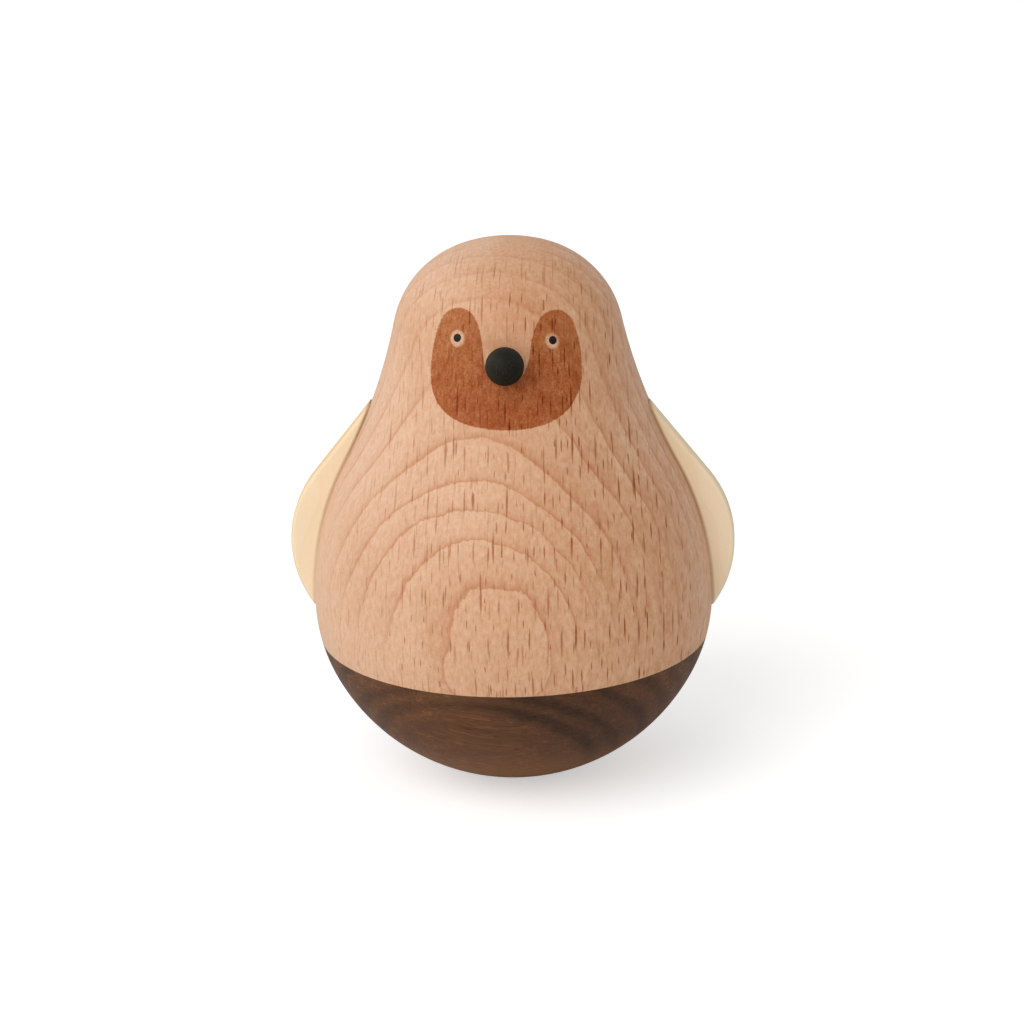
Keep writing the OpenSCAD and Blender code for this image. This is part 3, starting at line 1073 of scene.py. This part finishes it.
def makeBlackWood(look):
    finish = Finish("blackStainedWood")
    x, _, _ = finish.place()
    fibre = finish.streaks(**look["fibre"])
    speckle = finish.waver(**look["speckle"])
    thin = weighed(look["thin"], fibre=fibre, speckle=speckle).ramp(*look["thinFrom"])
    # painted light: the nose and pupils are paler towards the left
    thin = thin + x.eased(*look["left"]) * look["leftPaintedLight"]
    wood = finish.mix(thin, look["black"], look["worn"])
    return finish.wood(wood, look, fibre=fibre, speckle=speckle)


# Ball with a blind hole for its peg: a half circle from the front down to the hole, then up the hole
def makeNose(material):
    origin, axes = onFace(0, face["noseHeight"])
    radius, hole = nose["radius"], nose["holeRadius"]
    brim = -math.degrees(math.acos(hole / radius))
    ball = arcPoints((np.zeros(2), radius, 90, brim), nose["step"])
    inner = nose["holeDepth"] - radius
    profile = joined(ball, [[hole, inner], [0, inner]])
    piece, _ = turnedPiece("noseBall", profile, nose["columns"], (origin + nose["lift"] * axes[2], axes))
    dress(piece, material, "nose_bead")


# Pin with a domed end: the dome is an arc through its rim and its proud middle
def makePupil(name, x, material, node):
    half, proud = pupil["radius"], pupil["proud"]
    domeRadius = (half ** 2 + proud ** 2) / (2 * proud)
    rim = math.degrees(math.acos(half / domeRadius))
    dome = arcPoints((np.array([0, proud - domeRadius]), domeRadius, 90, rim), pupil["step"])
    profile = joined(dome, [[half, -pupil["length"]], [0, -pupil["length"]]])
    piece, _ = turnedPiece(name, profile, pupil["columns"], onFace(x, face["eyeHeight"]))
    dress(piece, material, node)


blackWood = makeBlackWood(blackStain)
makeNose(blackWood)
makePupil("leftPupil", -face["eyeOffset"], blackWood, "left_pupil")
makePupil("rightPupil", face["eyeOffset"], blackWood, "right_pupil")


# Inside: the peg, the weight and its screw keep their CAD shapes
dowel = dict(
    pale=paint(205, 168, 124),
    late=paint(176, 132, 88),
    fibre=dict(pitch=(6.0, 0.6, 6.0), detail=3, rough=0.6),
    lateFrom=(-0.2, 0.2),
    relief=dict(fibre=1.0),
    rough=dict(plain=0.7, fibre=0.2),
    bump=(0.04, 0.4),
    gloss=0.3,
)
turnedMetal = dict(
    steel=paint(172, 174, 178),
    steelDull=paint(120, 122, 126),
    brass=paint(206, 170, 96),
    brassDull=paint(150, 112, 52),
    groovePitch=24,  # radians per millimetre
    tarnish=dict(pitch=0.35, detail=3),
    dull=dict(tarnish=0.8, groove=0.2),
    dullFrom=(0.3, 0.9),
    rough=dict(plain=0.26, groove=0.1, tarnish=0.14),
    bump=(0.01, 0.3),
)


def makeDowel(look):
    finish = Finish("rawDowel")
    finish.place()
    fibre = finish.streaks(**look["fibre"])
    wood = finish.mix(fibre.ramp(*look["lateFrom"]), look["pale"], look["late"])
    return finish.wood(wood, look, fibre=fibre)


# Metal with the fine rings that a lathe tool leaves round the axis
def makeTurnedMetal(name, look, bright, dull):
    finish = Finish(name)
    x, y, z = finish.place()
    out = (x * x + y * y).math("SQRT") + z
    groove = (out * look["groovePitch"]).math("SINE") * 0.5 + 0.5
    tarnish = finish.noise(finish.spot, **look["tarnish"])
    worn = weighed(look["dull"], groove=groove, tarnish=tarnish).ramp(*look["dullFrom"])
    rough = weighed(look["rough"], groove=groove, tarnish=tarnish)
    metal = finish.mix(worn, look[bright], look[dull])
    normal = finish.bump(groove, *look["bump"])
    return finish.surface({"Base Color": metal, "Roughness": rough, "Metallic": 1.0, "Normal": normal})


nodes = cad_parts
giveMaterial(nodes["nose_peg"], makeDowel(dowel))
giveMaterial(nodes["ballast_slug"], makeTurnedMetal("turnedSteel", turnedMetal, "steel", "steelDull"))
giveMaterial(nodes["ballast_screw"], makeTurnedMetal("screwBrass", turnedMetal, "brass", "brassDull"))
print("inner pieces finished")


# Stage: a pale floor, white to the camera but still holding the shadow, and soft light from the upper left
studio = dict(
    floorHalf=4.0,
    floorColor=(0.86, 0.86, 0.86, 1.0),
    floorGlow=0.5,  # white that the camera sees in the floor besides its own shade
    sky=0.42,
    white=(1.0, 1.0, 1.0, 1.0),
)
lamps = dict(
    keyLight=dict(place=(-0.54, -0.74, 0.72), size=1.2, power=8.1, color=(1.0, 1.0, 1.0)),
    fillLight=dict(place=(0.75, -0.6, 0.5), size=0.9, power=0.7, color=(1.0, 0.87, 0.7)),
    rimLight=dict(place=(-0.85, 0.5, 0.32), size=0.6, power=1.2, color=(0.9, 1.0, 1.0)),
)


def makeFloor(look):
    half = look["floorHalf"]
    corners = [(-half, -half, 0), (half, -half, 0), (half, half, 0), (-half, half, 0)]
    mesh = bpy.data.meshes.new("floor")
    mesh.from_pydata(corners, [], [(0, 1, 2, 3)])
    floor = bpy.data.objects.new("floor", mesh)
    scene.collection.objects.link(floor)
    finish = Finish("paleFloor")
    seen = finish.add("ShaderNodeLightPath", out="Is Camera Ray")
    matt = finish.add("ShaderNodeBsdfDiffuse", inputs={"Color": look["floorColor"]})
    glow = finish.add("ShaderNodeEmission", inputs={"Color": look["white"], "Strength": look["floorGlow"]})
    both = finish.add("ShaderNodeAddShader", inputs={0: matt, 1: glow})
    finish.show(finish.add("ShaderNodeMixShader", inputs={0: seen, 1: matt, 2: both}))
    mesh.materials.append(finish.owner)


def makeLamp(name, look):
    data = bpy.data.lights.new(name, "AREA")
    data.shape = "DISK"
    data.size = look["size"]
    data.energy = look["power"]
    data.color = look["color"]
    lamp = bpy.data.objects.new(name, data)
    lamp.location = look["place"]
    aim = Vector(shot["aim"]) - Vector(look["place"])
    lamp.rotation_euler = aim.to_track_quat("-Z", "Y").to_euler()
    scene.collection.objects.link(lamp)


# Sky: soft light on the object, plain white to the camera and in what it reflects
def makeSky(look):
    sky = Finish("softSky", world=True)
    rayKinds = ("Is Camera Ray", "Is Glossy Ray", "Is Transmission Ray")
    seen, mirrored, through = [sky.add("ShaderNodeLightPath", out=kind) for kind in rayKinds]
    plain = seen.math("MAXIMUM", mirrored).math("MAXIMUM", through)
    soft = sky.add("ShaderNodeBackground", inputs={"Color": look["white"], "Strength": look["sky"]})
    white = sky.add("ShaderNodeBackground", inputs={"Color": look["white"]})
    sky.show(sky.add("ShaderNodeMixShader", inputs={0: plain, 1: soft, 2: white}))
    scene.world = sky.owner


makeFloor(studio)
for lampName, lampLook in lamps.items():
    makeLamp(lampName, lampLook)
makeSky(studio)
print("stage lit")
